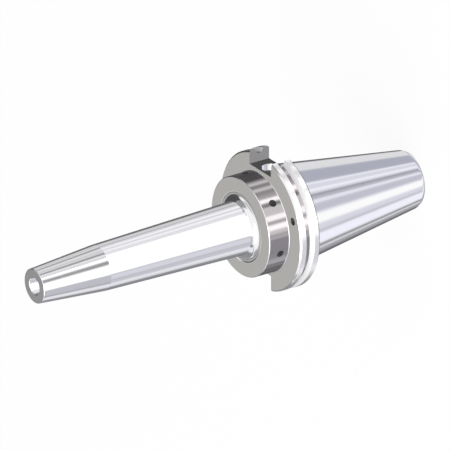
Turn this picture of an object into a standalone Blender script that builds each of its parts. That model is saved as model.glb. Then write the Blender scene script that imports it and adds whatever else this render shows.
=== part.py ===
"""Shrink fit tool holder with a size 50 steep taper, a long slim neck and a 12 mm bore.

Units are metres. The holder stands on the small end of its taper. The origin is on the axis in the
plane of that end, +Z runs up to the nose, and +X points out through the shallower drive slot.
"""

from math import acos, atan, cos, pi, radians, sin, tan

import bmesh
import bpy
from mathutils import Vector

OBJECT_NAME = "shrink_fit_holder"

# Taper shank
SHANK_LENGTH = 0.10175  # small end to gauge plane
GAUGE_DIAMETER = 0.06985
TAPER_RATE = 7 / 24  # diameter lost for each unit of length
LEAD_LENGTH = 0.0033  # chamfer at the small end, along the axis
LEAD_DEPTH = 0.0013
RELIEF_DEPTH = 0.0003  # undercut between the taper and the flange

# Flange and its gripper groove
FLANGE_SETBACK = 0.0032  # gauge plane to the rear face
FLANGE_WIDTH = 0.0159
FLANGE_DIAMETER = 0.0975
FLANGE_CHAMFER = 0.001
GROOVE_OFFSET = 0.0111  # gauge plane to the middle of the groove
GROOVE_DEPTH = 0.003125
GROOVE_FLOOR_WIDTH = 0.0029
GROOVE_FLANK_ANGLE = radians(30)

# Drive slots, and the data chip's seat in the floor of the shallower one
SLOT_WIDTH = 0.0257
SHALLOW_SLOT_FLOOR = 0.0377  # axis to floor
DEEP_SLOT_FLOOR = 0.0355
CHIP_SEAT_DIAMETER = 0.012
CHIP_SEAT_DEPTH = 0.0046

# Collar with its ring of M6 balancing threads
COLLAR_DIAMETER = 0.070
COLLAR_LENGTH = 0.0159
COLLAR_CHAMFER = 0.0008
BALANCE_COUNT = 6
BALANCE_FIRST_ANGLE = radians(15)
BALANCE_SETBACK = 0.0094  # collar's front face to the middle of the threads
BALANCE_CORE_DIAMETER = 0.005
BALANCE_DEPTH = 0.010
BALANCE_COUNTERSINK = 0.0004

# Neck, and the radius that runs it into the collar's front face
NECK_ROOT_DIAMETER = 0.0372
ROOT_RADIUS = 0.00465
ROOT_DIP = 0.0003  # how far the radius dips below the collar's face

# Shrink cone
REACH = 0.200  # gauge plane to nose
NOSE_DIAMETER = 0.024
CONE_BASE_DIAMETER = 0.032
CONE_HALF_ANGLE = radians(4.5)
NOSE_CHAMFER = 0.0005

# Bores from the nose down
SHRINK_BORE_DIAMETER = 0.012
SHRINK_BORE_DEPTH = 0.047
SHRINK_BORE_CHAMFER = 0.0005
STOP_THREAD_DIAMETER = 0.010
STOP_THREAD_LENGTH = 0.025
COOLANT_BORE_DIAMETER = 0.009

# Pull stud bore from the small end up
STUD_MOUTH_CHAMFER = 0.0015
STUD_PILOT_DIAMETER = 0.025
STUD_PILOT_DEPTH = 0.0115
STUD_CORE_DIAMETER = 0.021
STUD_CORE_DEPTH = 0.045

# Coolant ports through the flange
PORT_ANGLE = radians(111)
PORT_THREAD_DIAMETER = 0.005
PORT_INLET_DIAMETER = 0.006
PORT_INLET_DEPTH = 0.005
CHANNEL_DIAMETER = 0.004
CHANNEL_START = 0.003  # flange's rear face to the point where the channel leaves the inlet
CHANNEL_ANGLE = radians(60)  # between the channel and the axis

# Set screws
THREAD_CLEARANCE = 0.0003
STOP_SCREW_LENGTH = 0.016
STOP_SCREW_CHAMFER = 0.0008
STOP_SCREW_HOLE = 0.004
STOP_SOCKET_WIDTH = 0.005  # across flats
STOP_SOCKET_DEPTH = 0.005
SEAL_SCREW_LENGTH = 0.005
SEAL_SCREW_CHAMFER = 0.0005
SEAL_SCREW_RECESS = 0.002  # flange's front face to the screw
SEAL_SOCKET_WIDTH = 0.0025
SEAL_SOCKET_DEPTH = 0.0025

# Drawing and cutting
BODY_STEPS = 72
HOLE_STEPS = 24
ROOT_STEPS = 8
DRILL_TIP_ANGLE = radians(118)
COUNTERSINK_ANGLE = radians(60)  # of the step between the pull stud's pilot and its thread
CUT_MARGIN = 0.001
SHARP_ANGLE = radians(28)

# Heights above the small end
GAUGE_Z = SHANK_LENGTH
FLANGE_REAR_Z = GAUGE_Z + FLANGE_SETBACK
FLANGE_FRONT_Z = FLANGE_REAR_Z + FLANGE_WIDTH
GROOVE_Z = GAUGE_Z + GROOVE_OFFSET
COLLAR_FRONT_Z = FLANGE_FRONT_Z + COLLAR_LENGTH
NOSE_Z = GAUGE_Z + REACH
CONE_BASE_Z = NOSE_Z - (CONE_BASE_DIAMETER - NOSE_DIAMETER) / 2 / tan(CONE_HALF_ANGLE)
SHRINK_BORE_Z = NOSE_Z - SHRINK_BORE_DEPTH
STOP_THREAD_Z = SHRINK_BORE_Z - STOP_THREAD_LENGTH

# The ports lie midway between the collar and the flange's rim
PORT_RADIUS = (COLLAR_DIAMETER + FLANGE_DIAMETER) / 4


def clear_scene():
    """Remove every object of the opened scene."""
    for obj in list(bpy.data.objects):
        bpy.data.objects.remove(obj, do_unlink=True)


def new_collection(name, parent):
    """Add a collection inside another one."""
    collection = bpy.data.collections.new(name)
    parent.children.link(collection)
    return collection


def new_material(name, color, roughness):
    """Make a plain metal."""
    material = bpy.data.materials.new(name)
    material.use_nodes = True
    shader = material.node_tree.nodes["Principled BSDF"]
    shader.inputs["Base Color"].default_value = (*color, 1.0)
    shader.inputs["Metallic"].default_value = 1.0
    shader.inputs["Roughness"].default_value = roughness
    material.diffuse_color = (*color, 1.0)
    return material


def arc(center, radius, start, end, steps):
    """Points of an arc in the plane of radius and height, both ends included."""
    points = []
    for step in range(steps + 1):
        angle = start + (end - start) * step / steps
        points.append((center[0] + radius * cos(angle), center[1] + radius * sin(angle)))
    return points


def turned(name, profile, steps, collection, closed=True):
    """Spin a profile of (radius, height) points round Z. It runs down the outer side first."""
    mesh = bpy.data.meshes.new(name)
    vertices = [(radius, 0, height) for radius, height in profile]
    edges = [(i, i + 1) for i in range(len(profile) - 1)]
    if closed:
        edges.append((len(profile) - 1, 0))
    mesh.from_pydata(vertices, edges, [])
    obj = bpy.data.objects.new(name, mesh)
    collection.objects.link(obj)
    spin = obj.modifiers.new("Spin", "SCREW")
    spin.angle = 2 * pi
    spin.steps = steps
    spin.render_steps = steps
    spin.use_merge_vertices = True
    spin.merge_threshold = 0.00001
    return obj


def prism(name, sides, width, length, collection):
    """A prism on Z with its middle at the origin. The width is measured across flats."""
    mesh = bpy.data.meshes.new(name)
    shape = bmesh.new()
    radius = width / 2 / cos(pi / sides)
    bmesh.ops.create_cone(
        shape, cap_ends=True, segments=sides, radius1=radius, radius2=radius, depth=length
    )
    shape.to_mesh(mesh)
    shape.free()
    obj = bpy.data.objects.new(name, mesh)
    collection.objects.link(obj)
    return obj


def block(name, size, location, collection):
    """A box given by its size and its middle."""
    mesh = bpy.data.meshes.new(name)
    shape = bmesh.new()
    bmesh.ops.create_cube(shape, size=1)
    bmesh.ops.scale(shape, vec=size, verts=shape.verts)
    shape.to_mesh(mesh)
    shape.free()
    obj = bpy.data.objects.new(name, mesh)
    obj.location = location
    collection.objects.link(obj)
    return obj


def point_outwards(obj, mouth, outwards):
    """Put a cutter's origin at the mouth of its hole, with its +Z out of the material."""
    obj.location = mouth
    obj.rotation_mode = "QUATERNION"
    obj.rotation_quaternion = Vector(outwards).to_track_quat("Z", "Y")


def drill(name, mouth, outwards, diameter, depth, collection, countersink=0, tip=True):
    """A cutter for one round hole, with a drill's tip or a flat end."""
    radius = diameter / 2
    mouth_radius = radius + countersink
    if countersink:
        mouth_radius += CUT_MARGIN
    profile = [(0, CUT_MARGIN), (mouth_radius, CUT_MARGIN)]
    if countersink:
        profile.append((radius, -countersink))
    profile.append((radius, -depth))
    tip_length = radius / tan(DRILL_TIP_ANGLE / 2) if tip else 0
    profile.append((0, -depth - tip_length))
    cutter = turned(name, profile, HOLE_STEPS, collection, closed=False)
    point_outwards(cutter, mouth, outwards)
    return cutter


def cut(target, cutters):
    """Take the shapes of a collection of cutters out of the target, all in one cut."""
    for cutter in cutters.objects:
        cutter.hide_render = True
        cutter.display_type = "WIRE"
    boolean = target.modifiers.new("Cut", "BOOLEAN")
    boolean.operation = "DIFFERENCE"
    boolean.solver = "EXACT"
    boolean.operand_type = "COLLECTION"
    boolean.collection = cutters


def around(angle, radius, z):
    """A point given by its angle round the axis, its radius and its height."""
    return Vector((radius * cos(angle), radius * sin(angle), z))


def finish(obj, material, parent):
    """Keep the cut shape as a plain mesh, smooth between its sharp edges, with one material."""
    depsgraph = bpy.context.evaluated_depsgraph_get()
    mesh = bpy.data.meshes.new_from_object(obj.evaluated_get(depsgraph))
    obj.modifiers.clear()
    obj.data = mesh
    mesh.name = obj.name
    mesh.shade_smooth()
    mesh.set_sharp_from_angle(angle=SHARP_ANGLE)
    mesh.materials.clear()
    mesh.materials.append(material)
    obj.parent = parent


def nose_and_neck():
    """Outline of the shrink cone, the neck and its root, from the nose down."""
    nose_radius = NOSE_DIAMETER / 2
    points = [
        (nose_radius - NOSE_CHAMFER, NOSE_Z),
        (nose_radius + NOSE_CHAMFER * tan(CONE_HALF_ANGLE), NOSE_Z - NOSE_CHAMFER),
        (CONE_BASE_DIAMETER / 2, CONE_BASE_Z),
    ]
    center_z = COLLAR_FRONT_Z + ROOT_RADIUS - ROOT_DIP
    widening = (NECK_ROOT_DIAMETER - CONE_BASE_DIAMETER) / 2
    neck_angle = atan(widening / (CONE_BASE_Z - center_z))
    center = (NECK_ROOT_DIAMETER / 2 + ROOT_RADIUS / cos(neck_angle), center_z)
    rim_angle = 1.5 * pi + acos(1 - ROOT_DIP / ROOT_RADIUS)
    return points + arc(center, ROOT_RADIUS, pi + neck_angle, rim_angle, ROOT_STEPS)


def collar_and_flange():
    """Outline of the collar and the grooved flange, from the collar's front edge down."""
    collar_radius = COLLAR_DIAMETER / 2
    flange_radius = FLANGE_DIAMETER / 2
    groove_radius = flange_radius - GROOVE_DEPTH
    floor_half = GROOVE_FLOOR_WIDTH / 2
    mouth_half = floor_half + GROOVE_DEPTH * tan(GROOVE_FLANK_ANGLE)
    return [
        (collar_radius - COLLAR_CHAMFER, COLLAR_FRONT_Z),
        (collar_radius, COLLAR_FRONT_Z - COLLAR_CHAMFER),
        (collar_radius, FLANGE_FRONT_Z),
        (flange_radius - FLANGE_CHAMFER, FLANGE_FRONT_Z),
        (flange_radius, FLANGE_FRONT_Z - FLANGE_CHAMFER),
        (flange_radius, GROOVE_Z + mouth_half),
        (groove_radius, GROOVE_Z + floor_half),
        (groove_radius, GROOVE_Z - floor_half),
        (flange_radius, GROOVE_Z - mouth_half),
        (flange_radius, FLANGE_REAR_Z + FLANGE_CHAMFER),
        (flange_radius - FLANGE_CHAMFER, FLANGE_REAR_Z),
    ]


def taper_shank():
    """Outline of the relief and the 7/24 taper, from the flange's rear face down."""
    relief_radius = GAUGE_DIAMETER / 2 - RELIEF_DEPTH
    end_radius = (GAUGE_DIAMETER - TAPER_RATE * SHANK_LENGTH) / 2
    lead_radius = end_radius + TAPER_RATE * LEAD_LENGTH / 2
    return [
        (relief_radius, FLANGE_REAR_Z),
        (relief_radius, GAUGE_Z + RELIEF_DEPTH),
        (GAUGE_DIAMETER / 2, GAUGE_Z),
        (lead_radius, LEAD_LENGTH),
        (lead_radius - LEAD_DEPTH, 0),
    ]


def bores():
    """Outline of the bores, from the pull stud's mouth up to the nose."""
    pilot_radius = STUD_PILOT_DIAMETER / 2
    core_radius = STUD_CORE_DIAMETER / 2
    coolant_radius = COOLANT_BORE_DIAMETER / 2
    stop_radius = STOP_THREAD_DIAMETER / 2
    shrink_radius = SHRINK_BORE_DIAMETER / 2
    pilot_step = (pilot_radius - core_radius) / tan(COUNTERSINK_ANGLE)
    core_tip = (core_radius - coolant_radius) / tan(DRILL_TIP_ANGLE / 2)
    return [
        (pilot_radius + STUD_MOUTH_CHAMFER, 0),
        (pilot_radius, STUD_MOUTH_CHAMFER),
        (pilot_radius, STUD_PILOT_DEPTH),
        (core_radius, STUD_PILOT_DEPTH + pilot_step),
        (core_radius, STUD_CORE_DEPTH),
        (coolant_radius, STUD_CORE_DEPTH + core_tip),
        (coolant_radius, STOP_THREAD_Z - (stop_radius - coolant_radius)),
        (stop_radius, STOP_THREAD_Z),
        (stop_radius, SHRINK_BORE_Z - (shrink_radius - stop_radius)),
        (shrink_radius, SHRINK_BORE_Z),
        (shrink_radius, NOSE_Z - SHRINK_BORE_CHAMFER),
        (shrink_radius + SHRINK_BORE_CHAMFER, NOSE_Z),
    ]


def drive_slots(cutters):
    """Cutters for the two drive slots of the flange, and for the chip's seat in the first."""
    outside = FLANGE_DIAMETER / 2 + CUT_MARGIN
    middle_z = (FLANGE_REAR_Z + FLANGE_FRONT_Z) / 2
    length = FLANGE_WIDTH + 2 * CUT_MARGIN
    slots = (("shallow", 1, SHALLOW_SLOT_FLOOR), ("deep", -1, DEEP_SLOT_FLOOR))
    for name, side, floor in slots:
        size = (outside - floor, SLOT_WIDTH, length)
        location = (side * (outside + floor) / 2, 0, middle_z)
        block("cut_%s_drive_slot" % name, size, location, cutters)
    mouth = (SHALLOW_SLOT_FLOOR, 0, GROOVE_Z)
    drill("cut_chip_seat", mouth, (1, 0, 0), CHIP_SEAT_DIAMETER, CHIP_SEAT_DEPTH, cutters, tip=False)


def balancing_holes(cutters):
    """Cutters for the ring of balancing threads in the side of the collar."""
    z = COLLAR_FRONT_Z - BALANCE_SETBACK
    for index in range(BALANCE_COUNT):
        angle = BALANCE_FIRST_ANGLE + 2 * pi * index / BALANCE_COUNT
        drill(
            "cut_balance_%d" % (index + 1),
            around(angle, COLLAR_DIAMETER / 2, z),
            around(angle, 1, 0),
            BALANCE_CORE_DIAMETER,
            BALANCE_DEPTH,
            cutters,
            countersink=BALANCE_COUNTERSINK,
        )


def coolant_port(cutters, number, angle):
    """Cutters for one port through the flange, its wider inlet, and its channel to the coolant bore."""
    front = around(angle, PORT_RADIUS, FLANGE_FRONT_Z)
    rear = around(angle, PORT_RADIUS, FLANGE_REAR_Z)
    thread_depth = FLANGE_WIDTH - PORT_INLET_DEPTH / 2
    drill(
        "cut_port_thread_%d" % number, front, (0, 0, 1), PORT_THREAD_DIAMETER, thread_depth, cutters,
        tip=False,
    )
    drill(
        "cut_port_inlet_%d" % number, rear, (0, 0, -1), PORT_INLET_DIAMETER, PORT_INLET_DEPTH, cutters,
        tip=False,
    )
    start = rear + Vector((0, 0, CHANNEL_START))
    outwards = around(angle, sin(CHANNEL_ANGLE), -cos(CHANNEL_ANGLE))
    length = PORT_RADIUS / sin(CHANNEL_ANGLE)
    drill("cut_port_channel_%d" % number, start, outwards, CHANNEL_DIAMETER, length, cutters, tip=False)


def set_screw(name, location, diameter, length, chamfer, collection, hole=0):
    """A headless screw with its front end at the location, solid or with a hole through it."""
    radius = diameter / 2
    outside = [
        (radius - chamfer, 0),
        (radius, -chamfer),
        (radius, -length + chamfer),
        (radius - chamfer, -length),
    ]
    if hole:
        inside = [(hole / 2, -length), (hole / 2, 0)]
        screw = turned(name, outside + inside, HOLE_STEPS, collection)
    else:
        screw = turned(name, [(0, 0)] + outside + [(0, -length)], HOLE_STEPS, collection, closed=False)
    screw.location = location
    return screw


def hexagon_socket(name, screw, end_z, width, depth, cutters):
    """A cutter for a hexagon socket in the end of a screw that lies at the given height."""
    socket = prism(name, 6, width, 2 * depth, cutters)
    socket.location = (screw.location.x, screw.location.y, end_z)


def make_body(collection, cutters):
    """Turn the holder's body from one profile, then mill and drill it."""
    profile = nose_and_neck() + collar_and_flange() + taper_shank() + bores()
    body = turned("holder_body", profile, BODY_STEPS, collection)
    drive_slots(cutters)
    balancing_holes(cutters)
    for number, angle in ((1, PORT_ANGLE), (2, PORT_ANGLE + pi)):
        coolant_port(cutters, number, angle)
    cut(body, cutters)
    return body


def make_stop_screw(collection, cutters):
    """The hollow length stop, level with the end of the shrink bore, with a socket at each end."""
    diameter = STOP_THREAD_DIAMETER - 2 * THREAD_CLEARANCE
    top_z = SHRINK_BORE_Z - (SHRINK_BORE_DIAMETER - STOP_THREAD_DIAMETER) / 2
    screw = set_screw(
        "length_stop_screw", (0, 0, top_z), diameter, STOP_SCREW_LENGTH, STOP_SCREW_CHAMFER, collection,
        hole=STOP_SCREW_HOLE,
    )
    for end, end_z in (("front", top_z), ("rear", top_z - STOP_SCREW_LENGTH)):
        name = "cut_stop_socket_" + end
        hexagon_socket(name, screw, end_z, STOP_SOCKET_WIDTH, STOP_SOCKET_DEPTH, cutters)
    cut(screw, cutters)
    return screw


def make_seal_screw(collection, cutters, number, angle):
    """A set screw that closes one coolant port at the flange's front face."""
    diameter = PORT_THREAD_DIAMETER - 2 * THREAD_CLEARANCE
    top = around(angle, PORT_RADIUS, FLANGE_FRONT_Z - SEAL_SCREW_RECESS)
    screw = set_screw(
        "coolant_seal_screw_%d" % number, top, diameter, SEAL_SCREW_LENGTH, SEAL_SCREW_CHAMFER, collection
    )
    name = "cut_seal_socket_%d" % number
    hexagon_socket(name, screw, top.z, SEAL_SOCKET_WIDTH, SEAL_SOCKET_DEPTH, cutters)
    cut(screw, cutters)
    return screw


def main():
    clear_scene()
    scene_collection = bpy.context.scene.collection
    parts = new_collection(OBJECT_NAME, scene_collection)
    all_cutters = new_collection(OBJECT_NAME + "_cutters", scene_collection)
    holder_steel = new_material("holder_steel", (0.66, 0.65, 0.64), 0.22)
    stop_steel = new_material("stop_screw_steel", (0.10, 0.10, 0.11), 0.45)
    seal_steel = new_material("seal_screw_steel", (0.12, 0.12, 0.13), 0.40)

    empty = bpy.data.objects.new(OBJECT_NAME, None)
    parts.objects.link(empty)

    body = make_body(parts, new_collection("body_cutters", all_cutters))
    stop_screw = make_stop_screw(parts, new_collection("stop_screw_cutters", all_cutters))
    seal_screws = []
    for number, angle in ((1, PORT_ANGLE), (2, PORT_ANGLE + pi)):
        cutters = new_collection("seal_screw_cutters_%d" % number, all_cutters)
        seal_screws.append(make_seal_screw(parts, cutters, number, angle))

    bpy.context.view_layer.update()
    finish(body, holder_steel, empty)
    finish(stop_screw, stop_steel, empty)
    for screw in seal_screws:
        finish(screw, seal_steel, empty)


main()
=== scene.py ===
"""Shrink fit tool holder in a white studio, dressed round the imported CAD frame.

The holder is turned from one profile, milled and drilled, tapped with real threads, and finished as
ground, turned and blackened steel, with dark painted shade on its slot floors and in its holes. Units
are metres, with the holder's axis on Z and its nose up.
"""

from math import acos, atan, cos, pi, radians, sin, tan

import bmesh
import bpy
from mathutils import Matrix, Vector


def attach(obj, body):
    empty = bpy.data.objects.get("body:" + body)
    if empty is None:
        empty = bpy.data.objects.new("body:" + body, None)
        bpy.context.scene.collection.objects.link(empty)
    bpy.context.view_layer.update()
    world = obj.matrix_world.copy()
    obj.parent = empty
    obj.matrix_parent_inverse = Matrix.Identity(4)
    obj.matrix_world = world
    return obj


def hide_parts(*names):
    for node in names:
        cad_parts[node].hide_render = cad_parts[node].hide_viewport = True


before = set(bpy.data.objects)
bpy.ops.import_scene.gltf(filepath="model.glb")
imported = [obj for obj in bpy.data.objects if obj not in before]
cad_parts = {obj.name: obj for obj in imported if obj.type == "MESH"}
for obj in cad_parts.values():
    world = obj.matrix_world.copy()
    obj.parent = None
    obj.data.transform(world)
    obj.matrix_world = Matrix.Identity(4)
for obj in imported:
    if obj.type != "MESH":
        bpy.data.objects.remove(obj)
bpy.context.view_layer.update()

# Taper shank
SHANK_LENGTH = 0.10175
GAUGE_DIAMETER = 0.06985
TAPER_RATE = 7 / 24
LEAD_LENGTH = 0.0033
LEAD_DEPTH = 0.0013
END_BREAK = 0.0007
RELIEF_DEPTH = 0.0003

# Flange and gripper groove
FLANGE_SETBACK = 0.0032
FLANGE_WIDTH = 0.0159
FLANGE_DIAMETER = 0.0975
FLANGE_CHAMFER = 0.001
GROOVE_OFFSET = 0.0111
GROOVE_DEPTH = 0.003125
GROOVE_FLOOR_WIDTH = 0.0029
GROOVE_FLANK_ANGLE = radians(30)

# Drive slots and chip seat
SLOT_WIDTH = 0.0257
SHALLOW_SLOT_FLOOR = 0.0377
DEEP_SLOT_FLOOR = 0.0355
CHIP_SEAT_DIAMETER = 0.012
CHIP_SEAT_DEPTH = 0.0046
SLOT_EDGE_BREAK = 0.0002

# Collar and its balancing threads
COLLAR_DIAMETER = 0.070
COLLAR_LENGTH = 0.0159
COLLAR_CHAMFER = 0.0004
COLLAR_FOOT_RADIUS = 0.0004
BALANCE_COUNT = 6
BALANCE_FIRST_ANGLE = radians(15)
BALANCE_SETBACK = 0.0094
BALANCE_DEPTH = 0.010

# Neck and shrink cone
NECK_ROOT_DIAMETER = 0.0372
ROOT_RADIUS = 0.00465
ROOT_DIP = 0.0003
REACH = 0.200
NOSE_DIAMETER = 0.024
CONE_BASE_DIAMETER = 0.032
CONE_HALF_ANGLE = radians(4.5)
NOSE_CHAMFER = 0.00025

# Bores
SHRINK_BORE_DIAMETER = 0.012
SHRINK_BORE_DEPTH = 0.047
SHRINK_BORE_CHAMFER = 0.0003
COOLANT_BORE_DIAMETER = 0.009
STUD_MOUTH_CHAMFER = 0.0015
STUD_PILOT_DIAMETER = 0.025
STUD_PILOT_DEPTH = 0.0115
STUD_THREAD_END = 0.045
STOP_THREAD_LENGTH = 0.025

# Threads: core diameter, outer diameter and pitch
M5 = (0.00413, 0.005, 0.0008)
M10_FINE = (0.0091, 0.010, 0.001)
M24 = (0.0207, 0.024, 0.003)
THREAD_FLANK_ANGLE = radians(30)
COUNTERSINK = 0.00015
DRILL_TIP_ANGLE = radians(118)

# Coolant ports
PORT_ANGLES = (radians(111), radians(291))
PORT_RADIUS = (COLLAR_DIAMETER + FLANGE_DIAMETER) / 4
PORT_THREAD_DEPTH = 0.010
PORT_INLET_DIAMETER = 0.006
PORT_INLET_DEPTH = 0.005
CHANNEL_DIAMETER = 0.004
CHANNEL_START = 0.003
CHANNEL_ANGLE = radians(60)

# Set screws
SCREW_CLEARANCE = 0.0001
STOP_SCREW_LENGTH = 0.016
STOP_SCREW_HOLE = 0.004
STOP_SOCKET_WIDTH = 0.005
STOP_SOCKET_DEPTH = 0.005
SEAL_SCREW_LENGTH = 0.005
SEAL_SCREW_RECESS = 0.002
SEAL_SOCKET_WIDTH = 0.0025
SEAL_SOCKET_DEPTH = 0.0025
SCREW_CHAMFER = 0.0006

# Steps round the axis and along the arcs
BODY_STEPS = 288
STUD_THREAD_STEPS = 96
STOP_THREAD_STEPS = 48
HOLE_STEPS = 32
ROOT_STEPS = 24
FOOT_STEPS = 6

# Edges and joins of the meshes
EDGE_BREAK = 0.00012
EDGE_BREAK_STEPS = 2
TURNED_EDGE_ANGLE = radians(20)
MILLED_EDGE_ANGLE = radians(25)
SMOOTH_ANGLE = radians(35)
START_SIZE = 0.001
MERGE_DISTANCE = 0.0000005
OVERRUN = 0.001

# Heights above the small end
GAUGE_Z = SHANK_LENGTH
FLANGE_REAR_Z = GAUGE_Z + FLANGE_SETBACK
FLANGE_FRONT_Z = FLANGE_REAR_Z + FLANGE_WIDTH
GROOVE_Z = GAUGE_Z + GROOVE_OFFSET
COLLAR_FRONT_Z = FLANGE_FRONT_Z + COLLAR_LENGTH
NOSE_Z = GAUGE_Z + REACH
CONE_BASE_Z = NOSE_Z - (CONE_BASE_DIAMETER - NOSE_DIAMETER) / 2 / tan(CONE_HALF_ANGLE)
SHRINK_BORE_Z = NOSE_Z - SHRINK_BORE_DEPTH

# Camera
CAMERA_AZIMUTH = radians(29.5)
CAMERA_ELEVATION = radians(30.15)
CAMERA_ROLL = radians(-106.0)
CAMERA_DISTANCE = 12.7
FRAME_WIDTH = 0.3010
AIM_HEIGHT = 0.1492
AIM_RISE = 0.00435
SENSOR_WIDTH = 36.0
NEAR_LIMIT = 1.0
FAR_LIMIT = 200.0


def deselect_all():
    """Leave edit mode and select nothing."""
    if bpy.context.object and bpy.context.object.mode != "OBJECT":
        bpy.ops.object.mode_set(mode="OBJECT")
    bpy.ops.object.select_all(action="DESELECT")


def choose(piece):
    """Make one piece the selected and active one."""
    deselect_all()
    piece.select_set(True)
    bpy.context.view_layer.objects.active = piece


def apply_place(piece):
    """Move a piece's place and turn into its mesh."""
    choose(piece)
    bpy.ops.object.transform_apply(location=True, rotation=True, scale=True)


def edit_all(piece):
    """Open a piece for editing with everything selected."""
    choose(piece)
    bpy.ops.object.mode_set(mode="EDIT")
    bpy.ops.mesh.select_mode(type="VERT")
    bpy.ops.mesh.select_all(action="SELECT")


def close_edit():
    """Go back to object mode."""
    bpy.ops.object.mode_set(mode="OBJECT")


def face_outwards(piece):
    """Turn the faces of the closed shell in edit mode outwards."""
    bpy.ops.mesh.select_all(action="SELECT")
    bpy.ops.mesh.normals_make_consistent(inside=False)
    shape = bmesh.from_edit_mesh(piece.data)
    if shape.calc_volume(signed=True) < 0:
        bpy.ops.mesh.flip_normals()


def drawn_line(name, profile):
    """Draw a line of (radius, height) points in the XZ plane, one extruded vertex after another."""
    deselect_all()
    radius, height = profile[0]
    bpy.ops.mesh.primitive_plane_add(size=START_SIZE, location=(radius, 0, height))
    line = bpy.context.object
    line.name = name
    line.data.name = name
    apply_place(line)
    edit_all(line)
    bpy.ops.mesh.merge(type="CENTER")
    for before, after in zip(profile, profile[1:]):
        step = (after[0] - before[0], 0, after[1] - before[1])
        bpy.ops.mesh.extrude_vertices_move(TRANSFORM_OT_translate={"value": step})
    close_edit()
    return line


def turned(name, profile, steps):
    """Spin a profile round Z into one closed shell."""
    piece = drawn_line(name, profile)
    edit_all(piece)
    bpy.ops.mesh.spin(steps=steps, angle=2 * pi, center=(0, 0, 0), axis=(0, 0, 1))
    bpy.ops.mesh.select_all(action="SELECT")
    bpy.ops.mesh.remove_doubles(threshold=MERGE_DISTANCE)
    face_outwards(piece)
    close_edit()
    return piece


def thread_profile(core, outer, pitch, top, bottom, end):
    """Points down a threaded rod: one plain turn, its teeth between two heights, and a plain end."""
    flank = (outer - core) * tan(THREAD_FLANK_ANGLE)
    crest = pitch / 8
    root = pitch - 2 * flank - crest
    teeth = round((top - bottom) / pitch)
    plain = round((bottom - end) / pitch)
    points = [(core, top + pitch)]
    for turn in range(-1, teeth + plain):
        z = top - turn * pitch
        reach = outer if 0 <= turn < teeth else core
        points.append((core, z - root))
        points.append((reach, z - root - flank))
        points.append((reach, z - root - flank - crest))
        points.append((core, z - pitch))
    return points


def threaded_rod(name, size, top, bottom, end, steps, clearance=0):
    """A right-hand threaded rod on Z, closed at both ends."""
    core, outer, pitch = size
    profile = thread_profile(core / 2 - clearance, outer / 2 - clearance, pitch, top, bottom, end)
    rod = drawn_line(name, profile)
    winding = rod.modifiers.new("Thread", "SCREW")
    winding.angle = 2 * pi
    winding.screw_offset = pitch
    winding.steps = steps
    winding.render_steps = steps
    winding.merge_threshold = MERGE_DISTANCE
    choose(rod)
    bpy.ops.object.modifier_apply(modifier=winding.name)
    edit_all(rod)
    bpy.ops.mesh.remove_doubles(threshold=MERGE_DISTANCE)
    bpy.ops.mesh.select_all(action="SELECT")
    bpy.ops.mesh.fill_holes(sides=0)
    face_outwards(rod)
    close_edit()
    return rod


def drill(name, diameter, depth, countersink=0, tip=True):
    """A drill on Z with its mouth at the origin and its end below, wider at the mouth if asked."""
    radius = diameter / 2
    mouth = radius + countersink + (OVERRUN if countersink else 0)
    profile = [(0, OVERRUN), (mouth, OVERRUN)]
    if countersink:
        profile.append((radius, -countersink))
    profile.append((radius, -depth))
    tip_length = radius / tan(DRILL_TIP_ANGLE / 2) if tip else 0
    profile.append((0, -depth - tip_length))
    return turned(name, profile, HOLE_STEPS)


def put(piece, mouth, outwards):
    """Move a tool to the mouth of its hole, with its +Z out of the steel."""
    piece.rotation_mode = "QUATERNION"
    piece.rotation_quaternion = Vector(outwards).to_track_quat("Z", "Y")
    piece.location = mouth
    apply_place(piece)
    return piece


def copied(piece):
    """A copy of a piece with a mesh of its own."""
    choose(piece)
    bpy.ops.object.duplicate(linked=False)
    return bpy.context.object


def throw_away(*pieces):
    """Remove tools that aren't needed any more."""
    for piece in pieces:
        bpy.data.objects.remove(piece, do_unlink=True)


def around(angle, radius, z):
    """A point given by its angle round the axis, its radius and its height."""
    return Vector((radius * cos(angle), radius * sin(angle), z))


def arc(center, radius, start, end, steps):
    """Points of an arc in the plane of radius and height."""
    points = []
    for step in range(steps + 1):
        angle = start + (end - start) * step / steps
        points.append((center[0] + radius * cos(angle), center[1] + radius * sin(angle)))
    return points


def cut(target, tools):
    """Cut each tool out of the target, and throw it away."""
    for tool in tools:
        boolean = target.modifiers.new("Cut", "BOOLEAN")
        boolean.operation = "DIFFERENCE"
        boolean.solver = "MANIFOLD"
        boolean.object = tool
        boolean.material_mode = "TRANSFER"
        choose(target)
        bpy.ops.object.modifier_apply(modifier=boolean.name)
        throw_away(tool)


def nose_and_neck():
    """Outline of the shrink cone, the neck and its root, from the nose down."""
    nose_radius = NOSE_DIAMETER / 2
    points = [
        (nose_radius - NOSE_CHAMFER, NOSE_Z),
        (nose_radius + NOSE_CHAMFER * tan(CONE_HALF_ANGLE), NOSE_Z - NOSE_CHAMFER),
        (CONE_BASE_DIAMETER / 2, CONE_BASE_Z),
    ]
    center_z = COLLAR_FRONT_Z + ROOT_RADIUS - ROOT_DIP
    widening = (NECK_ROOT_DIAMETER - CONE_BASE_DIAMETER) / 2
    neck_angle = atan(widening / (CONE_BASE_Z - center_z))
    center = (NECK_ROOT_DIAMETER / 2 + ROOT_RADIUS / cos(neck_angle), center_z)
    rim_angle = 1.5 * pi + acos(1 - ROOT_DIP / ROOT_RADIUS)
    return points + arc(center, ROOT_RADIUS, pi + neck_angle, rim_angle, ROOT_STEPS)


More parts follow.
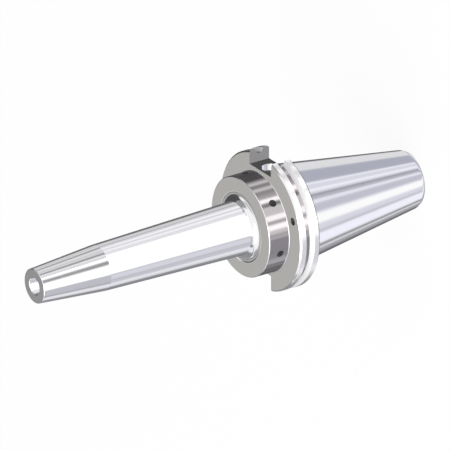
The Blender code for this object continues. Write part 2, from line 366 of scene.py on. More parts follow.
def collar_and_flange():
    """Outline of the collar and the grooved flange, from the collar's front edge down."""
    collar_radius = COLLAR_DIAMETER / 2
    flange_radius = FLANGE_DIAMETER / 2
    groove_radius = flange_radius - GROOVE_DEPTH
    floor_half = GROOVE_FLOOR_WIDTH / 2
    mouth_half = floor_half + GROOVE_DEPTH * tan(GROOVE_FLANK_ANGLE)
    foot = (collar_radius + COLLAR_FOOT_RADIUS, FLANGE_FRONT_Z + COLLAR_FOOT_RADIUS)
    return [
        (collar_radius - COLLAR_CHAMFER, COLLAR_FRONT_Z),
        (collar_radius, COLLAR_FRONT_Z - COLLAR_CHAMFER),
        *arc(foot, COLLAR_FOOT_RADIUS, pi, 1.5 * pi, FOOT_STEPS),
        (flange_radius - FLANGE_CHAMFER, FLANGE_FRONT_Z),
        (flange_radius, FLANGE_FRONT_Z - FLANGE_CHAMFER),
        (flange_radius, GROOVE_Z + mouth_half),
        (groove_radius, GROOVE_Z + floor_half),
        (groove_radius, GROOVE_Z - floor_half),
        (flange_radius, GROOVE_Z - mouth_half),
        (flange_radius, FLANGE_REAR_Z + FLANGE_CHAMFER),
        (flange_radius - FLANGE_CHAMFER, FLANGE_REAR_Z),
    ]


def taper_shank():
    """Outline of the relief and the 7/24 taper, from the flange's rear face down."""
    relief_radius = GAUGE_DIAMETER / 2 - RELIEF_DEPTH
    end_radius = (GAUGE_DIAMETER - TAPER_RATE * SHANK_LENGTH) / 2
    lead_radius = end_radius + TAPER_RATE * LEAD_LENGTH / 2
    return [
        (relief_radius, FLANGE_REAR_Z),
        (relief_radius, GAUGE_Z + RELIEF_DEPTH),
        (GAUGE_DIAMETER / 2, GAUGE_Z),
        (lead_radius, LEAD_LENGTH),
        (lead_radius - LEAD_DEPTH, END_BREAK),
        (lead_radius - LEAD_DEPTH - END_BREAK, 0),
    ]


def bores():
    """Outline of the plain bores, from the pull stud's mouth up to the nose."""
    pilot_radius = STUD_PILOT_DIAMETER / 2
    coolant_radius = COOLANT_BORE_DIAMETER / 2
    shrink_radius = SHRINK_BORE_DIAMETER / 2
    return [
        (pilot_radius + STUD_MOUTH_CHAMFER, 0),
        (pilot_radius, STUD_MOUTH_CHAMFER),
        (pilot_radius, STUD_PILOT_DEPTH),
        (coolant_radius, STUD_PILOT_DEPTH),
        (coolant_radius, SHRINK_BORE_Z - (shrink_radius - coolant_radius)),
        (shrink_radius, SHRINK_BORE_Z),
        (shrink_radius, NOSE_Z - SHRINK_BORE_CHAMFER),
        (shrink_radius + SHRINK_BORE_CHAMFER, NOSE_Z),
    ]


def turned_blank():
    """The holder off the lathe, with every turned edge broken."""
    profile = nose_and_neck() + collar_and_flange() + taper_shank() + bores()
    blank = turned("holder", profile + profile[:1], BODY_STEPS)
    edit_all(blank)
    bpy.ops.mesh.select_all(action="DESELECT")
    bpy.ops.mesh.select_mode(type="EDGE")
    bpy.ops.mesh.edges_select_sharp(sharpness=TURNED_EDGE_ANGLE)
    bpy.ops.mesh.bevel(offset=EDGE_BREAK, segments=EDGE_BREAK_STEPS, affect="EDGES", clamp_overlap=True)
    close_edit()
    return blank


def milling_cutters():
    """Cutters for the two drive slots."""
    outside = FLANGE_DIAMETER / 2 + OVERRUN
    cutters = []
    for side, floor in ((1, SHALLOW_SLOT_FLOOR), (-1, DEEP_SLOT_FLOOR)):
        deselect_all()
        middle = (side * (outside + floor) / 2, 0, (FLANGE_REAR_Z + FLANGE_FRONT_Z) / 2)
        size = (outside - floor, SLOT_WIDTH, FLANGE_WIDTH + 2 * OVERRUN)
        bpy.ops.mesh.primitive_cube_add(size=1, location=middle, scale=size)
        cutter = bpy.context.object
        apply_place(cutter)
        cutters.append(cutter)
    return cutters


def tapping_tools(size, thread_depth, hole_depth):
    """A countersink and a tap for a threaded hole, with its mouth at the origin."""
    core, outer, pitch = size
    rim = outer / 2 + COUNTERSINK + OVERRUN
    tap = threaded_rod("tap", size, pitch, -thread_depth, -hole_depth, HOLE_STEPS)
    countersink = turned("countersink", [(0, OVERRUN), (rim, OVERRUN), (0, OVERRUN - rim)], HOLE_STEPS)
    return countersink, tap


def balancing_tools():
    """Tools for the ring of balancing threads in the collar."""
    z = COLLAR_FRONT_Z - BALANCE_SETBACK
    countersink, tap = tapping_tools(M5, BALANCE_DEPTH - 2 * M5[2], BALANCE_DEPTH)
    tools = []
    for index in range(BALANCE_COUNT):
        angle = BALANCE_FIRST_ANGLE + 2 * pi * index / BALANCE_COUNT
        mouth = around(angle, COLLAR_DIAMETER / 2, z)
        outwards = around(angle, 1, 0)
        tools.append(put(copied(countersink), mouth, outwards))
        tools.append(put(copied(tap), mouth, outwards))
    throw_away(countersink, tap)
    return tools


def port_tools():
    """Tools for both coolant ports: the thread, the inlet and the channel to the coolant bore."""
    through = FLANGE_WIDTH - PORT_INLET_DEPTH / 2
    countersink, tap = tapping_tools(M5, PORT_THREAD_DEPTH, through)
    inlet = drill("inlet", PORT_INLET_DIAMETER, PORT_INLET_DEPTH, COUNTERSINK, tip=False)
    channel = drill("channel", CHANNEL_DIAMETER, PORT_RADIUS / sin(CHANNEL_ANGLE), tip=False)
    tools = []
    for angle in PORT_ANGLES:
        front = around(angle, PORT_RADIUS, FLANGE_FRONT_Z)
        rear = around(angle, PORT_RADIUS, FLANGE_REAR_Z)
        start = rear + Vector((0, 0, CHANNEL_START))
        tools.append(put(copied(countersink), front, (0, 0, 1)))
        tools.append(put(copied(tap), front, (0, 0, 1)))
        tools.append(put(copied(inlet), rear, (0, 0, -1)))
        tools.append(put(copied(channel), start, around(angle, sin(CHANNEL_ANGLE), -cos(CHANNEL_ANGLE))))
    throw_away(countersink, tap, inlet, channel)
    return tools


def bore_tools():
    """Tools for the pull stud's thread and the length stop's thread on the axis."""
    stud_end = STUD_PILOT_DEPTH - STUD_THREAD_END
    stud_run_out = stud_end + 2 * M24[2]
    stop_end = -STOP_THREAD_LENGTH
    stop_run_out = stop_end + 2 * M10_FINE[2]
    stud_tap = threaded_rod("stud_tap", M24, 0, stud_run_out, stud_end, STUD_THREAD_STEPS)
    stop_tap = threaded_rod("stop_tap", M10_FINE, 0, stop_run_out, stop_end, STOP_THREAD_STEPS)
    return [
        put(stud_tap, (0, 0, STUD_PILOT_DEPTH), (0, 0, -1)),
        put(stop_tap, (0, 0, SHRINK_BORE_Z), (0, 0, 1)),
    ]


def screw_blank(radius, length, steps):
    """The turned outline of a set screw, which its threaded rod is trimmed to."""
    profile = [
        (0, 0),
        (radius - SCREW_CHAMFER, 0),
        (radius, -SCREW_CHAMFER),
        (radius, -length + SCREW_CHAMFER),
        (radius - SCREW_CHAMFER, -length),
        (0, -length),
    ]
    return turned("blank", profile, steps)


def set_screw(name, size, length, steps):
    """A set screw with its front end at the origin: a threaded rod trimmed to its blank."""
    core, outer, pitch = size
    below = -length - 2 * pitch
    rod = threaded_rod(name, size, 2 * pitch, below, below - 2 * pitch, steps, SCREW_CLEARANCE)
    blank = screw_blank(outer / 2, length, steps)
    trim = rod.modifiers.new("Trim", "BOOLEAN")
    trim.operation = "INTERSECT"
    trim.solver = "MANIFOLD"
    trim.object = blank
    choose(rod)
    bpy.ops.object.modifier_apply(modifier=trim.name)
    throw_away(blank)
    return rod


def hexagon_socket(width, depth, end):
    """A tool for a hexagon socket, by its width across flats, in the end at a height."""
    deselect_all()
    bpy.ops.mesh.primitive_cylinder_add(
        vertices=6, radius=width / 2 / cos(pi / 6), depth=2 * depth, location=(0, 0, end)
    )
    socket = bpy.context.object
    apply_place(socket)
    return socket


def stop_screw():
    """The hollow length stop behind the shrink bore, with a socket in each end."""
    screw = set_screw("length_stop", M10_FINE, STOP_SCREW_LENGTH, STOP_THREAD_STEPS)
    radius = STOP_SCREW_HOLE / 2
    past = -STOP_SCREW_LENGTH - OVERRUN
    hole = turned("hole", [(0, OVERRUN), (radius, OVERRUN), (radius, past), (0, past)], STOP_THREAD_STEPS)
    front = hexagon_socket(STOP_SOCKET_WIDTH, STOP_SOCKET_DEPTH, 0)
    back = hexagon_socket(STOP_SOCKET_WIDTH, STOP_SOCKET_DEPTH, -STOP_SCREW_LENGTH)
    cut(screw, [hole, front, back])
    top = SHRINK_BORE_Z - (SHRINK_BORE_DIAMETER - M10_FINE[1]) / 2
    return put(screw, (0, 0, top), (0, 0, 1))


def seal_screws():
    """The set screws that close the coolant ports."""
    master = set_screw("seal", M5, SEAL_SCREW_LENGTH, HOLE_STEPS)
    cut(master, [hexagon_socket(SEAL_SOCKET_WIDTH, SEAL_SOCKET_DEPTH, 0)])
    screws = []
    for number, angle in enumerate(PORT_ANGLES, start=1):
        screw = copied(master)
        screw.name = "coolant_seal_%d" % number
        screw.data.name = screw.name
        top = around(angle, PORT_RADIUS, FLANGE_FRONT_Z - SEAL_SCREW_RECESS)
        screws.append(put(screw, top, (0, 0, 1)))
    throw_away(master)
    return screws


FLOAT = "NodeSocketFloat"
COLOR = "NodeSocketColor"


def value_group(name, inputs, outputs):
    """An empty shader node group with its sockets, and what goes into and out of it."""
    group = bpy.data.node_groups.new(name, "ShaderNodeTree")
    for title, kind in inputs:
        group.interface.new_socket(title, in_out="INPUT", socket_type=kind)
    for title, kind in outputs:
        group.interface.new_socket(title, in_out="OUTPUT", socket_type=kind)
    given = add(group, "NodeGroupInput").outputs
    wanted = add(group, "NodeGroupOutput").inputs
    return group, given, wanted


def add(tree, kind, **settings):
    """Add a node and set its properties."""
    node = tree.nodes.new(kind)
    for key, value in settings.items():
        setattr(node, key, value)
    return node


def calculate(tree, operation, *terms):
    """One arithmetic node on links and plain values."""
    node = add(tree, "ShaderNodeMath", operation=operation)
    for socket, term in zip(node.inputs, terms):
        if isinstance(term, bpy.types.NodeSocket):
            tree.links.new(term, socket)
        else:
            socket.default_value = term
    return node.outputs[0]


def smooth_range(tree, value, low, high):
    """A smooth rise from 0 to 1 between two values, or a fall if the first is the higher."""
    node = add(tree, "ShaderNodeMapRange", interpolation_type="SMOOTHSTEP")
    tree.links.new(value, node.inputs["Value"])
    tree.links.new(low, node.inputs["From Min"])
    tree.links.new(high, node.inputs["From Max"])
    return node.outputs["Result"]


# What a studio panel is told of its place, in the order of the list of panels
PANEL_PLACE = ("Middle", "Half Width", "Soft Edge", "Bottom", "Top", "Soft End")


def panel_group():
    """Studio panel: lays one soft-edged panel over the light from a direction."""
    inputs = [("Light", COLOR), ("Azimuth", FLOAT), ("Elevation", FLOAT)]
    inputs += [(title, FLOAT) for title in PANEL_PLACE] + [("Panel", COLOR)]
    group, given, wanted = value_group("studio_panel", inputs, [("Light", COLOR)])
    off = calculate(group, "SUBTRACT", given["Azimuth"], given["Middle"])
    side = calculate(group, "ABSOLUTE", calculate(group, "WRAP", off, 180.0, -180.0))
    outer = calculate(group, "ADD", given["Half Width"], given["Soft Edge"])
    across = smooth_range(group, side, outer, given["Half Width"])
    below = calculate(group, "SUBTRACT", given["Bottom"], given["Soft End"])
    above = calculate(group, "ADD", given["Top"], given["Soft End"])
    up = smooth_range(group, given["Elevation"], below, given["Bottom"])
    down = smooth_range(group, given["Elevation"], above, given["Top"])
    mask = calculate(group, "MULTIPLY", calculate(group, "MULTIPLY", up, down), across)
    mix = add(group, "ShaderNodeMix", data_type="RGBA")
    group.links.new(mask, mix.inputs["Factor"])
    group.links.new(given["Light"], mix.inputs["A"])
    group.links.new(given["Panel"], mix.inputs["B"])
    group.links.new(mix.outputs["Result"], wanted["Light"])
    return group


# Studio panels round the holder, each laid over the ones before. Each has its name, its middle's
# azimuth from +X, half width, soft edge, lowest and highest elevation and soft end, all in degrees,
# then its light and how cool that is. Screens and bars are grey, tubes are bright, flags are dark.
STUDIO_PANELS = (
    ("low wall", 0, 180, 1, -90, 2, 3, 0.80, 0.2),
    ("window", -62, 40, 16, -35, 2, 3, 1.40, 0.0),
    ("neck fill", 22, 24, 8, -28.5, -26, 1.5, 1.00, 0.3),
    ("left tube", -82, 3, 5, -35, 2, 3, 2.60, 0.0),
    ("tube gap", -71, 1, 4, -36, -28, 3, 0.90, 0.5),
    ("middle tube", -61, 3, 5, -35, -25, 3, 2.50, 0.0),
    ("right tube", -20, 2, 4, -35, -28, 3, 2.60, 0.0),
    ("collar bar", -31, 2, 4, -36, -30, 1.5, 0.20, 0.2),
    ("collar bar left", -101, 2, 4, -36, -30, 1.5, 0.75, 0.3),
    ("collar bar right", 1, 2, 5, -36, -29, 1.5, 0.60, 0.2),
    ("collar bar top", 21, 2, 4, -36, -30, 1.5, 0.45, 0.2),
    ("left screen", -128, 16, 9, -90, 0, 3, 0.57, 0.7),
    ("left screen edge", -150, 5, 6, -36, -26, 3, 0.62, 0.7),
    ("left bar", -152, 3, 5, -22, 16, 3, 0.24, 0.7),
    ("left card", -168, 3, 5, -36, 12, 3, 0.90, 0.8),
    ("left flag", 161, 8, 10, -90, 27, 3, 0.28, 0.6),
    ("right screen", 40, 3, 6, -27, 2, 1, 0.38, 0.2),
    ("right screen thin", 15, 1, 5, -25.5, 2, 1, 0.64, 0.2),
    ("side screen", 36, 18, 14, -17, 45, 4, 0.34, 0.2),
    ("right bar", 21, 3, 5, -90, -36, 3, 0.66, 0.5),
    ("cone flag", -51, 3, 16, -23.5, -19.5, 1.5, 0.14, 0.6),
    ("cone bar", -1, 3, 5, -24, 0, 3, 0.34, 0.2),
    ("cone screen", -20, 3, 6, -24, 0, 3, 0.72, 0.2),
    ("neck bar", 49, 1, 6, -29.2, -26, 0.8, 0.56, 0.2),
    ("neck bar left", 20, 1, 5, -28.8, -26, 0.8, 0.76, 0.2),
    ("collar tube", 10, 1, 5, -36, -30, 1.5, 1.50, 0.0),
    ("collar tube top", 30, 1, 5, -36, -30, 1.5, 1.40, 0.0),
    ("collar flag", 180, 2, 5, -31.5, -29.9, 0.8, 0.33, 0.2),
    ("collar shade", 66, 22, 9, -31.5, -29.9, 0.8, 0.03, 0.2),
    ("neck screen", -124, 8, 6, -28.6, -26.5, 1.2, 0.80, 0.8),
    ("floor wall", -50, 70, 10, -90, -39, 3, 0.77, 1.0),
    ("floor card", -148, 11, 8, -90, -38, 3, 1.00, 0.8),
    ("floor flag", -172, 1, 8, -90, -36, 3, 0.30, 0.6),
    ("floor step", 167, 4, 5, -90, -35.5, 1, 0.42, 0.5),
    ("floor glow", -94, 8, 10, -90, -38, 3, 1.08, 0.0),
    ("floor tube", -50, 2, 4, -90, -38, 3, 0.90, 0.9),
    ("floor bar left", -66, 7, 6, -90, -38, 3, 0.60, 1.1),
    ("floor bar middle", -37, 4, 6, -90, -38, 3, 0.50, 1.0),
    ("floor bar thin", -33, 0.5, 3, -90, -38, 3, 0.30, 1.0),
    ("floor tube right", -20, 1, 5, -90, -38, 3, 1.00, 0.5),
    ("floor tube far", 0, 1, 4, -90, -38, 3, 1.00, 0.5),
    ("floor bar right", 24, 17, 8, -90, -37, 3, 0.48, 1.5),
    ("back flag", 120, 25, 12, -90, 2, 3, 0.14, 0.5),
    ("back flag low", 120, 30, 14, -75, -50, 3, 0.03, 0.5),
    ("back flag side", 83, 4, 7, -30, 2, 1, 0.17, 0.2),
    ("back screen", 138, 13, 9, -28, 22, 3, 0.30, 0.6),
    ("crescent flag", 84, 25, 6, -23, 37, 3, 0.08, 0.6),
    ("right blind", 134, 5, 3, 8, 44, 3, 0.36, 0.6),
    ("blind low", -178, 14, 8, 22, 26, 3, 0.38, 0.6),
    ("blind high", 153, 10, 8, 33, 44, 3, 0.42, 0.6),
    ("top screen", 70, 25, 15, 52, 70, 5, 0.60, 0.6),
)
WHITE = (1.0, 1.0, 1.0, 1.0)
COOL_TINT = (0.965, 0.97, 1.09)


def studio():
    """A white room whose grey and bright panels show as bands in the steel."""
    world = bpy.data.worlds.new("studio")
    bpy.context.scene.world = world
    world.use_nodes = True
    tree = world.node_tree
    tree.nodes.clear()
    direction = add(tree, "ShaderNodeTexCoord").outputs["Generated"]
    parts = add(tree, "ShaderNodeSeparateXYZ")
    tree.links.new(direction, parts.inputs[0])
    azimuth = calculate(tree, "DEGREES", calculate(tree, "ARCTAN2", parts.outputs["Y"], parts.outputs["X"]))
    elevation = calculate(tree, "DEGREES", calculate(tree, "ARCSINE", parts.outputs["Z"]))
    group = panel_group()
    light = None
    for name, *place, level, cool in STUDIO_PANELS:
        panel = add(tree, "ShaderNodeGroup", node_tree=group, name=name)
        panel.inputs["Light"].default_value = WHITE
        if light:
            tree.links.new(light, panel.inputs["Light"])
        tree.links.new(azimuth, panel.inputs["Azimuth"])
        tree.links.new(elevation, panel.inputs["Elevation"])
        for title, value in zip(PANEL_PLACE, place):
            panel.inputs[title].default_value = value
        tint = [1 + cool * (part - 1) for part in COOL_TINT]
        panel.inputs["Panel"].default_value = [level * part for part in tint] + [1.0]
        light = panel.outputs["Light"]
    seen = add(tree, "ShaderNodeMix", data_type="RGBA")
    tree.links.new(add(tree, "ShaderNodeLightPath").outputs["Is Camera Ray"], seen.inputs["Factor"])
    tree.links.new(light, seen.inputs["A"])
    seen.inputs["B"].default_value = WHITE
    background = add(tree, "ShaderNodeBackground")
    tree.links.new(seen.outputs["Result"], background.inputs["Color"])
    output = add(tree, "ShaderNodeOutputWorld")
    tree.links.new(background.outputs["Background"], output.inputs["Surface"])


# Floor, a hair below the small end so that the two don't share a plane
FLOOR_HALF_SIZE = 40.0
FLOOR_COLOR = (0.9, 0.9, 0.9, 1.0)
FLOOR_GLOW = 0.9
FLOOR_GAP = 0.00005


def floor():
    """A plain white floor that keeps a faint shadow."""
    deselect_all()
    bpy.ops.mesh.primitive_plane_add(size=2 * FLOOR_HALF_SIZE, location=(0, 0, -FLOOR_GAP))
    plane = bpy.context.object
    plane.name = "floor"
    material = bpy.data.materials.new("floor_white")
    material.use_nodes = True
    tree = material.node_tree
    tree.nodes.clear()
    paint = add(tree, "ShaderNodeBsdfDiffuse")
    paint.inputs["Color"].default_value = FLOOR_COLOR
    glow = add(tree, "ShaderNodeEmission")
    glow.inputs["Color"].default_value = WHITE
    share = calculate(tree, "MULTIPLY", add(tree, "ShaderNodeLightPath").outputs["Is Camera Ray"], FLOOR_GLOW)
    mix = add(tree, "ShaderNodeMixShader")
    tree.links.new(share, mix.inputs[0])
    tree.links.new(paint.outputs[0], mix.inputs[1])
    tree.links.new(glow.outputs[0], mix.inputs[2])
    output = add(tree, "ShaderNodeOutputMaterial")
    tree.links.new(mix.outputs[0], output.inputs["Surface"])
    plane.data.materials.append(material)
    plane.visible_glossy = False


def camera():
    """A long lens at the photograph's angle, rolled so that the nose points down to the left."""
    back = Vector(
        (
            sin(CAMERA_AZIMUTH) * cos(CAMERA_ELEVATION),
            -cos(CAMERA_AZIMUTH) * cos(CAMERA_ELEVATION),
            sin(CAMERA_ELEVATION),
        )
    )
    turn = back.to_track_quat("Z", "Y").to_matrix().to_4x4() @ Matrix.Rotation(CAMERA_ROLL, 4, "Z")
    rise = turn.to_3x3() @ Vector((0, AIM_RISE, 0))
    aim = Vector((0, 0, AIM_HEIGHT)) + rise
    lens = bpy.data.cameras.new("camera")
    lens.sensor_width = SENSOR_WIDTH
    lens.lens = SENSOR_WIDTH * CAMERA_DISTANCE / FRAME_WIDTH
    lens.clip_start = NEAR_LIMIT
    lens.clip_end = FAR_LIMIT
    eye = bpy.data.objects.new("camera", lens)
    eye.matrix_world = Matrix.Translation(aim + back * CAMERA_DISTANCE) @ turn
    bpy.context.scene.collection.objects.link(eye)
    bpy.context.scene.camera = eye


# Soft lamp above the holder
LAMP_PLACE = (-0.5, -0.9, 1.6)
LAMP_SIZE = 1.4
LAMP_POWER = 12.0


def lamp():
    """One large soft lamp above, for the floor's shadow and the highlights."""
    light = bpy.data.lights.new("softbox", "AREA")
    light.size = LAMP_SIZE
    light.energy = LAMP_POWER
    box = bpy.data.objects.new("softbox", light)
    box.location = LAMP_PLACE
    box.rotation_mode = "QUATERNION"
    box.rotation_quaternion = Vector(LAMP_PLACE).to_track_quat("Z", "Y")
    bpy.context.scene.collection.objects.link(box)


# Machining marks
TRACK_RISE = 0.93
RING_DETAIL = 3.0
RING_ROUGHNESS = 0.7
CLOUD_SCALE = 55.0
CLOUD_DETAIL = 4.0
ROUGHNESS_SHARE = 0.25


def marks_group():
    """Machining marks: rings that a tool leaves round the axis, and the uneven sheen of handled steel."""
    titles = ("Rings", "Ring Tone", "Cloud Tone", "Roughness", "Roughness Change")
    group, given, wanted = value_group(
        "machining_marks",
        [(title, FLOAT) for title in titles] + [("Steel", COLOR)],
        [("Color", COLOR), ("Roughness", FLOAT), ("Height", FLOAT)],
    )
    place = add(group, "ShaderNodeTexCoord").outputs["Object"]
    parts = add(group, "ShaderNodeSeparateXYZ")
    group.links.new(place, parts.inputs[0])
    across = calculate(group, "MULTIPLY", parts.outputs["X"], parts.outputs["X"])
    along = calculate(group, "MULTIPLY", parts.outputs["Y"], parts.outputs["Y"])
    radius = calculate(group, "SQRT", calculate(group, "ADD", across, along))
    track = calculate(group, "ADD", radius, calculate(group, "MULTIPLY", parts.outputs["Z"], TRACK_RISE))
    rings = add(group, "ShaderNodeTexNoise", noise_dimensions="1D")
    group.links.new(track, rings.inputs["W"])
    group.links.new(given["Rings"], rings.inputs["Scale"])
    rings.inputs["Detail"].default_value = RING_DETAIL
    rings.inputs["Roughness"].default_value = RING_ROUGHNESS
    clouds = add(group, "ShaderNodeTexNoise")
    group.links.new(place, clouds.inputs["Vector"])
    clouds.inputs["Scale"].default_value = CLOUD_SCALE
    clouds.inputs["Detail"].default_value = CLOUD_DETAIL
    ring = calculate(group, "SUBTRACT", rings.outputs["Fac"], 0.5)
    cloud = calculate(group, "SUBTRACT", clouds.outputs["Fac"], 0.5)
    ring_tone = calculate(group, "MULTIPLY", ring, given["Ring Tone"])
    cloud_tone = calculate(group, "MULTIPLY", cloud, given["Cloud Tone"])
    tone = calculate(group, "ADD", calculate(group, "ADD", ring_tone, cloud_tone), 1.0)
    color = add(group, "ShaderNodeVectorMath", operation="SCALE")
    group.links.new(given["Steel"], color.inputs[0])
    group.links.new(tone, color.inputs["Scale"])
    change = calculate(group, "MULTIPLY", calculate(group, "ADD", ring, cloud), given["Roughness Change"])
    group.links.new(color.outputs[0], wanted["Color"])
    group.links.new(calculate(group, "ADD", given["Roughness"], change), wanted["Roughness"])
    group.links.new(rings.outputs["Fac"], wanted["Height"])
    return group


def steel(name, color, roughness, depth, metallic=1.0, rings=2500.0, ring_tone=0.06, cloud_tone=0.04):
    """A machined steel: colour, roughness and relief, by its depth, that vary with its machining marks."""
    material = bpy.data.materials.new(name)
    material.use_nodes = True
    tree = material.node_tree
    shader = tree.nodes["Principled BSDF"]
    shader.inputs["Metallic"].default_value = metallic
    marks = add(tree, "ShaderNodeGroup", node_tree=MARKS)
    marks.inputs["Rings"].default_value = rings
    marks.inputs["Ring Tone"].default_value = ring_tone
    marks.inputs["Cloud Tone"].default_value = cloud_tone
    marks.inputs["Roughness"].default_value = roughness
    marks.inputs["Roughness Change"].default_value = roughness * ROUGHNESS_SHARE
    marks.inputs["Steel"].default_value = (*color, 1.0)
    relief = add(tree, "ShaderNodeBump")
    relief.inputs["Distance"].default_value = depth
    tree.links.new(marks.outputs["Height"], relief.inputs["Height"])
    tree.links.new(marks.outputs["Color"], shader.inputs["Base Color"])
    tree.links.new(marks.outputs["Roughness"], shader.inputs["Roughness"])
    tree.links.new(relief.outputs["Normal"], shader.inputs["Normal"])
    return material


# Finishes, in the order of the steels at the end; the slot floors' and the holes' ones are painted shade
GROUND, FACED, TURNED, RIM, SLOT_FLOOR_SHADE, BORED, HOLE_SHADE, NOSE, FLANK = range(9)

# Height of a face's normal from which the face counts as faced: upwards, with the lip of the root's
# undercut, downwards, and on the nose
FACED_UP = 0.974
FACED_DOWN = -0.99
FACED_NOSE = 0.9
ANGLE_SLACK = 0.02

# Share of a milled face's normal that points along X or Y, and how near a slot's wall such a face lies
SQUARE = 0.999
WALL_SLACK = 0.000005


def leans(normal, angle):
    """Whether a face's normal leans from the axis by an angle."""
    return abs(abs(normal[2]) - cos(angle)) < ANGLE_SLACK


def finish_of(center, normal):
    """Which finish a face of the turned blank has, from its place and direction."""
    radius = Vector(center[:2]).length
    z = center[2]
    if radius < STUD_PILOT_DIAMETER / 2 + STUD_MOUTH_CHAMFER and z < GAUGE_Z:
        return BORED
    if radius < NOSE_DIAMETER / 2 - NOSE_CHAMFER and z > NOSE_Z - OVERRUN and normal[2] > FACED_NOSE:
        return NOSE
    if normal[2] > FACED_UP or normal[2] < FACED_DOWN:
        return FACED
    if z > COLLAR_FRONT_Z - COLLAR_CHAMFER:
        return GROUND
    if z > FLANGE_FRONT_Z + COLLAR_FOOT_RADIUS:
        return TURNED
    if z > FLANGE_FRONT_Z and radius < COLLAR_DIAMETER / 2 + COLLAR_FOOT_RADIUS:
        return GROUND
    if z < FLANGE_REAR_Z:
        return GROUND
    if radius < FLANGE_DIAMETER / 2 - GROOVE_DEPTH + EDGE_BREAK / 2:
        return TURNED
    if leans(normal, GROOVE_FLANK_ANGLE):
        return FLANK
    return GROUND if leans(normal, pi / 4) else RIM


def finished_blank():
    """The turned blank with a finish on each of its faces."""
    blank = turned_blank()
    for material in MATERIALS:
        blank.data.materials.append(material)
    for face in blank.data.polygons:
        face.material_index = finish_of(face.center, face.normal)
    return blank


def slot_tools():
    """Cutters for the drive slots and the data chip seat, with the finishes that they leave, and dark painted
    shade on the recessed slot floors.
    """
    mills = milling_cutters()
    for mill in mills:
        mill.data.materials.append(MATERIALS[FACED])
        mill.data.materials.append(MATERIALS[SLOT_FLOOR_SHADE])
        for face in mill.data.polygons:
            # Faces across X are the slot floors, which get dark painted shade
            face.material_index = 1 if abs(face.normal[0]) > SQUARE else 0
    seat = drill("chip_seat", CHIP_SEAT_DIAMETER, CHIP_SEAT_DEPTH, tip=False)
    seat.data.materials.append(MATERIALS[GROUND])
    return mills + [put(seat, (SHALLOW_SLOT_FLOOR, 0, GROOVE_Z), (1, 0, 0))]


def hole_tools():
    """Tools for every threaded hole, which leave near-black walls: painted shade inside the holes."""
    tools = balancing_tools() + bore_tools() + port_tools()
    for tool in tools:
        # Every hole's walls get near-black painted shade
        tool.data.materials.append(MATERIALS[HOLE_SHADE])
    return tools


def is_milled(face):
    """Whether a face is a wall or the floor of a drive slot."""
    x, y, z = face.calc_center_median()
    if face.material_index not in (FACED, SLOT_FLOOR_SHADE) or abs(x) < DEEP_SLOT_FLOOR - OVERRUN:
        return False
    if not FLANGE_REAR_Z - OVERRUN < z < FLANGE_FRONT_Z + OVERRUN:
        return False
    wall = abs(face.normal[1]) > SQUARE and abs(abs(y) - SLOT_WIDTH / 2) < WALL_SLACK
    return wall or (abs(face.normal[0]) > SQUARE and abs(y) < SLOT_WIDTH / 2)


def break_slot_edges(holder):
    """Round over the sharp edges that the mill left round both drive slots."""
    edit_all(holder)
    bpy.ops.mesh.select_all(action="DESELECT")
    bpy.ops.mesh.select_mode(type="EDGE")
    shape = bmesh.from_edit_mesh(holder.data)
    for edge in shape.edges:
        milled = {is_milled(face) for face in edge.link_faces}
        if milled == {True, False} and edge.is_convex and edge.calc_face_angle(0) > MILLED_EDGE_ANGLE:
            edge.select = True
    bmesh.update_edit_mesh(holder.data)
    bpy.ops.mesh.bevel(offset=SLOT_EDGE_BREAK, segments=EDGE_BREAK_STEPS, affect="EDGES", clamp_overlap=True)
    close_edit()


def dressed_holder():
    """The finished holder: turned, dressed with its finishes, milled, drilled and tapped."""
    holder = finished_blank()
    cut(holder, slot_tools())
    break_slot_edges(holder)
    cut(holder, hole_tools())
    smooth(holder)
    sharpen_cone_base(holder)
    return holder


def smooth(piece):
    """Shade a piece smooth up to its sharp edges."""
    choose(piece)
    bpy.ops.object.shade_smooth_by_angle(angle=SMOOTH_ANGLE)


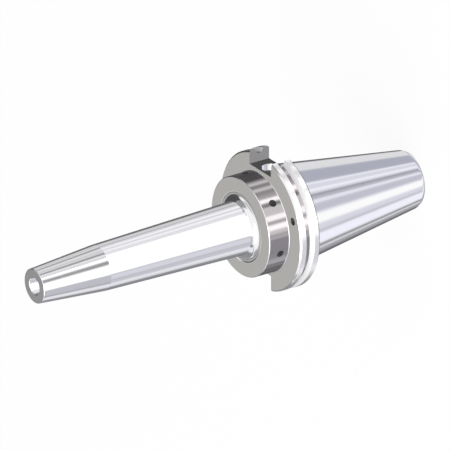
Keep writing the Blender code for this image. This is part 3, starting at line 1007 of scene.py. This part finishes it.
def sharpen_cone_base(holder):
    """Keep the edge where the shrink cone meets the neck, which is too shallow to be found by its angle."""
    edit_all(holder)
    bpy.ops.mesh.select_all(action="DESELECT")
    bpy.ops.mesh.select_mode(type="EDGE")
    shape = bmesh.from_edit_mesh(holder.data)
    for edge in shape.edges:
        edge.select = all(abs(vertex.co.z - CONE_BASE_Z) < MERGE_DISTANCE for vertex in edge.verts)
    bmesh.update_edit_mesh(holder.data)
    bpy.ops.mesh.mark_sharp()
    close_edit()


def blacken(screw):
    """Give a set screw its black oxide."""
    smooth(screw)
    screw.data.materials.clear()
    screw.data.materials.append(BLACK)


def tie(piece, node):
    """Let the large faces lead the shading of a finished piece, and tie it to the frame."""
    choose(piece)
    shading = piece.modifiers.new("Shading", "WEIGHTED_NORMAL")
    shading.mode = "FACE_AREA"
    shading.keep_sharp = True
    bpy.ops.object.modifier_apply(modifier=shading.name)
    piece.visible_glossy = False
    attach(piece, "root")
    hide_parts(node)


camera()
studio()
floor()
lamp()
MARKS = marks_group()
MATERIALS = (
    steel("ground_steel", (0.90, 0.90, 0.91), roughness=0.12, depth=0.0000005, rings=4000.0, ring_tone=0.03),
    steel("faced_steel", (0.435, 0.425, 0.41), roughness=0.22, depth=0.000002, ring_tone=0.1),
    steel("turned_steel", (0.405, 0.38, 0.387), roughness=0.11, depth=0.000001, ring_tone=0.1),
    steel("rim_steel", (0.96, 0.95, 0.955), roughness=0.22, depth=0.000001, metallic=0.9),
    # Dark painted shade for the recessed floors of the drive slots
    steel("slot_floor_painted_shade", (0.08, 0.079, 0.077), roughness=0.3, depth=0.000003, cloud_tone=0.2),
    steel("bored_steel", (0.35, 0.345, 0.34), roughness=0.35, depth=0.000004, ring_tone=0.15),
    # Near-black painted shade for the insides of the tapped holes, inlets and channels
    steel("hole_painted_shade", (0.05, 0.05, 0.05), roughness=0.35, depth=0.000002),
    steel("nose_steel", (0.32, 0.32, 0.32), roughness=0.3, depth=0.000002, ring_tone=0.12),
    steel("groove_steel", (0.90, 0.89, 0.895), roughness=0.35, depth=0.000002, metallic=0.4),
)
BLACK = steel("black_oxide", (0.06, 0.06, 0.065), roughness=0.4, depth=0.000002, cloud_tone=0.3)

tie(dressed_holder(), "holder_body")
stop = stop_screw()
blacken(stop)
tie(stop, "length_stop_screw")
for number, seal in enumerate(seal_screws(), start=1):
    blacken(seal)
    tie(seal, "coolant_seal_screw_%d" % number)

bpy.context.scene.view_settings.view_transform = "Standard"
